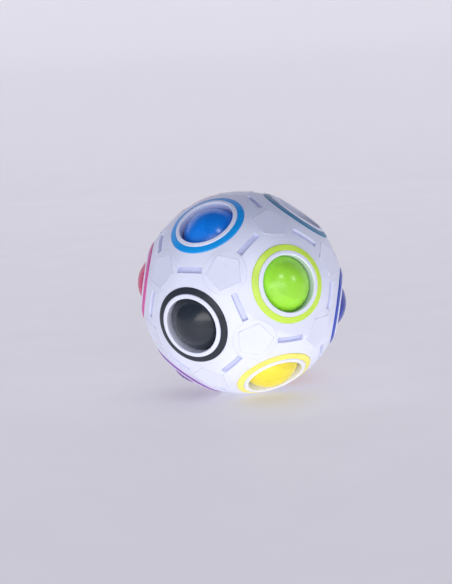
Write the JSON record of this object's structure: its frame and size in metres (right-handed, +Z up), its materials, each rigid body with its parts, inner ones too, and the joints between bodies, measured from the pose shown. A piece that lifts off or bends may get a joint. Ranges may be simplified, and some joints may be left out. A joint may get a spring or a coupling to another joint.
{
  "type": "rainbow ball puzzle",
  "caption": "Hollow white ball puzzle with ringed round holes, coloured balls seated in all but one of them, and round pentagon discs at the junctions",
  "frame": {"origin": "centre of the ball", "axes": "+Z is up, through the middle of a three-hole junction, and the ball stands on the flat pentagon of the opposite junction; the empty hole leans from +Z towards +X; -Y is the front"},
  "size_m": [0.0718, 0.07, 0.0694],
  "materials": {
    "shell_white": "satin moulded plastic",
    "core_foam": "closed-cell foam rubber",
    "ring_teal": "semi-gloss moulded plastic",
    "ring_blue": "semi-gloss moulded plastic",
    "ring_red": "semi-gloss moulded plastic",
    "ring_pink": "semi-gloss moulded plastic",
    "ring_green": "semi-gloss moulded plastic",
    "ring_grey": "semi-gloss moulded plastic",
    "ring_navy": "semi-gloss moulded plastic",
    "ring_black": "semi-gloss moulded plastic",
    "ring_forest": "semi-gloss moulded plastic",
    "ring_purple": "semi-gloss moulded plastic",
    "ring_yellow": "semi-gloss moulded plastic",
    "ring_orange": "semi-gloss moulded plastic",
    "ball_blue": "polished moulded plastic",
    "ball_red": "polished moulded plastic",
    "ball_pink": "polished moulded plastic",
    "ball_green": "polished moulded plastic",
    "ball_grey": "polished moulded plastic",
    "ball_navy": "polished moulded plastic",
    "ball_black": "polished moulded plastic",
    "ball_forest": "polished moulded plastic",
    "ball_purple": "polished moulded plastic",
    "ball_yellow": "polished moulded plastic",
    "ball_orange": "polished moulded plastic"
  },
  "bodies": {
    "shell": {"upper_shell": "shell_white", "lower_shell": "shell_white", "collar_teal": "shell_white", "collar_blue": "shell_white", "collar_red": "shell_white", "collar_pink": "shell_white", "collar_green": "shell_white", "collar_grey": "shell_white", "collar_navy": "shell_white", "collar_black": "shell_white", "collar_forest": "shell_white", "collar_purple": "shell_white", "collar_yellow": "shell_white", "collar_orange": "shell_white", "ring_teal": "ring_teal", "ring_blue": "ring_blue", "ring_red": "ring_red", "ring_pink": "ring_pink", "ring_green": "ring_green", "ring_grey": "ring_grey", "ring_navy": "ring_navy", "ring_black": "ring_black", "ring_forest": "ring_forest", "ring_purple": "ring_purple", "ring_yellow": "ring_yellow", "ring_orange": "ring_orange", "disc_teal_blue_red": "shell_white", "disc_teal_blue_green": "shell_white", "disc_teal_red_grey": "shell_white", "disc_teal_green_navy": "shell_white", "disc_teal_grey_navy": "shell_white", "disc_blue_red_pink": "shell_white", "disc_blue_pink_black": "shell_white", "disc_blue_green_black": "shell_white", "disc_red_pink_forest": "shell_white", "disc_red_grey_forest": "shell_white", "disc_pink_black_purple": "shell_white", "disc_pink_forest_purple": "shell_white", "disc_green_navy_yellow": "shell_white", "disc_green_black_yellow": "shell_white", "disc_grey_navy_orange": "shell_white", "disc_grey_forest_orange": "shell_white", "disc_navy_yellow_orange": "shell_white", "disc_black_purple_yellow": "shell_white", "disc_forest_purple_orange": "shell_white", "disc_purple_yellow_orange": "shell_white", "core": "core_foam"},
    "ball_blue": {"ball_blue": "ball_blue"},
    "ball_red": {"ball_red": "ball_red"},
    "ball_pink": {"ball_pink": "ball_pink"},
    "ball_green": {"ball_green": "ball_green"},
    "ball_grey": {"ball_grey": "ball_grey"},
    "ball_navy": {"ball_navy": "ball_navy"},
    "ball_black": {"ball_black": "ball_black"},
    "ball_forest": {"ball_forest": "ball_forest"},
    "ball_purple": {"ball_purple": "ball_purple"},
    "ball_yellow": {"ball_yellow": "ball_yellow"},
    "ball_orange": {"ball_orange": "ball_orange"}
  },
  "joints": [
    {"name": "press_blue", "type": "slide", "parent": "shell", "child": "ball_blue", "axis": [0.3035, 0.5257, -0.7947], "range_m": [0, 0.0048], "stiffness_N_per_m": 400, "springref_m": -0.002, "deforming": ["core"]},
    {"name": "press_red", "type": "slide", "parent": "shell", "child": "ball_red", "axis": [0.3035, -0.5257, -0.7947], "range_m": [0, 0.0048], "stiffness_N_per_m": 400, "springref_m": -0.002, "deforming": ["core"]},
    {"name": "press_pink", "type": "slide", "parent": "shell", "child": "ball_pink", "axis": [0.9822, 0, -0.1876], "range_m": [0, 0.0048], "stiffness_N_per_m": 400, "springref_m": -0.002, "deforming": ["core"]},
    {"name": "move_green_to_teal", "type": "hinge", "parent": "shell", "child": "ball_green", "pos_m": [0.02078, -0.01609, 0.01858], "axis": [0.7558, 0.309, -0.5774], "range_deg": [0, 104.56], "deforming": ["core"]},
    {"name": "press_grey", "type": "slide", "parent": "shell", "child": "ball_grey", "axis": [-0.4911, -0.8507, -0.1876], "range_m": [0, 0.0048], "stiffness_N_per_m": 400, "springref_m": -0.002, "deforming": ["core"]},
    {"name": "press_navy", "type": "slide", "parent": "shell", "child": "ball_navy", "axis": [-0.9822, 0, 0.1876], "range_m": [0, 0.0048], "stiffness_N_per_m": 400, "springref_m": -0.002, "deforming": ["core"]},
    {"name": "press_black", "type": "slide", "parent": "shell", "child": "ball_black", "axis": [0.4911, 0.8507, 0.1876], "range_m": [0, 0.0048], "stiffness_N_per_m": 400, "springref_m": -0.002, "deforming": ["core"]},
    {"name": "press_forest", "type": "slide", "parent": "shell", "child": "ball_forest", "axis": [0.4911, -0.8507, 0.1876], "range_m": [0, 0.0048], "stiffness_N_per_m": 400, "springref_m": -0.002, "deforming": ["core"]},
    {"name": "press_purple", "type": "slide", "parent": "shell", "child": "ball_purple", "axis": [0.6071, 0, 0.7947], "range_m": [0, 0.0048], "stiffness_N_per_m": 400, "springref_m": -0.002, "deforming": ["core"]},
    {"name": "press_yellow", "type": "slide", "parent": "shell", "child": "ball_yellow", "axis": [-0.3035, 0.5257, 0.7947], "range_m": [0, 0.0048], "stiffness_N_per_m": 400, "springref_m": -0.002, "deforming": ["core"]},
    {"name": "press_orange", "type": "slide", "parent": "shell", "child": "ball_orange", "axis": [-0.3035, -0.5257, 0.7947], "range_m": [0, 0.0048], "stiffness_N_per_m": 400, "springref_m": -0.002, "deforming": ["core"]}
  ]
}
